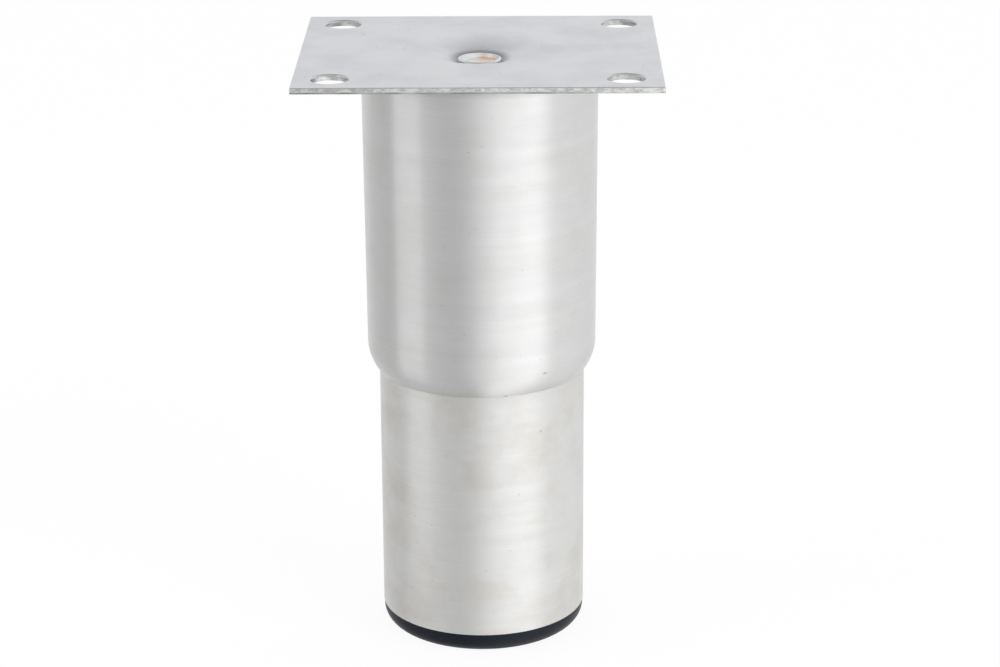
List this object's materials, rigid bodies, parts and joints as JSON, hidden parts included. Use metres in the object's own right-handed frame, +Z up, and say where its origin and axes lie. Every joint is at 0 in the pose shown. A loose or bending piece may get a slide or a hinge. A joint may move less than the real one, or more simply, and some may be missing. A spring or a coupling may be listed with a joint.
{
  "type": "adjustable support leg",
  "caption": "Stainless equipment leg: a rectangular mounting plate on a tapered tube, with an inner tube on a black foot that screws in and out to set the height.",
  "frame": {"origin": "on the floor under the middle of the foot, which is also the bottom centre of the bounding box", "axes": "+Z up along the tubes' common axis, +X along the wider spacing of the plate's holes, +Y away from the picture's viewer"},
  "size_m": [0.0888, 0.0762, 0.1524],
  "materials": {
    "plate_steel": "cold-rolled stainless sheet, satin mill finish, with a rolled-over hole edge and a sheared outside edge",
    "shell_steel": "drawn stainless steel, brushed round the tube",
    "tube_steel": "stainless tube, brushed round the tube, slightly warmer than the outer one",
    "screw_steel": "carbon steel screw with a turned, copper-tinted riveted end",
    "plated_steel": "bright zinc-plated steel",
    "spring_steel": "black phosphated spring steel",
    "guide_nylon": "natural nylon, moulded",
    "foot_plastic": "blue-black polyamide, moulded, satin"
  },
  "bodies": {
    "housing": {"mounting_plate": "plate_steel", "outer_shell": "shell_steel", "spreader_washer": "plated_steel", "adjusting_screw": "screw_steel", "stop_washer": "plated_steel", "retaining_clip": "spring_steel"},
    "slider": {"guide_ring": "guide_nylon"},
    "leg": {"nut_carrier": "plated_steel", "lifting_nut": "plated_steel", "inner_tube": "tube_steel", "foot_cap": "foot_plastic"}
  },
  "joints": [
    {"name": "lift", "type": "slide", "parent": "housing", "child": "slider", "axis": [0, 0, 1], "range_m": [-0.025, 0.025]},
    {"name": "turn", "type": "hinge", "parent": "slider", "child": "leg", "pos_m": [0, 0, 0.05], "axis": [0, 0, 1], "range_deg": [-4500, 4500]}
  ],
  "couplings": [
    {"joint": "lift", "follows": "turn", "m_per_rad": 0.00031831}
  ]
}
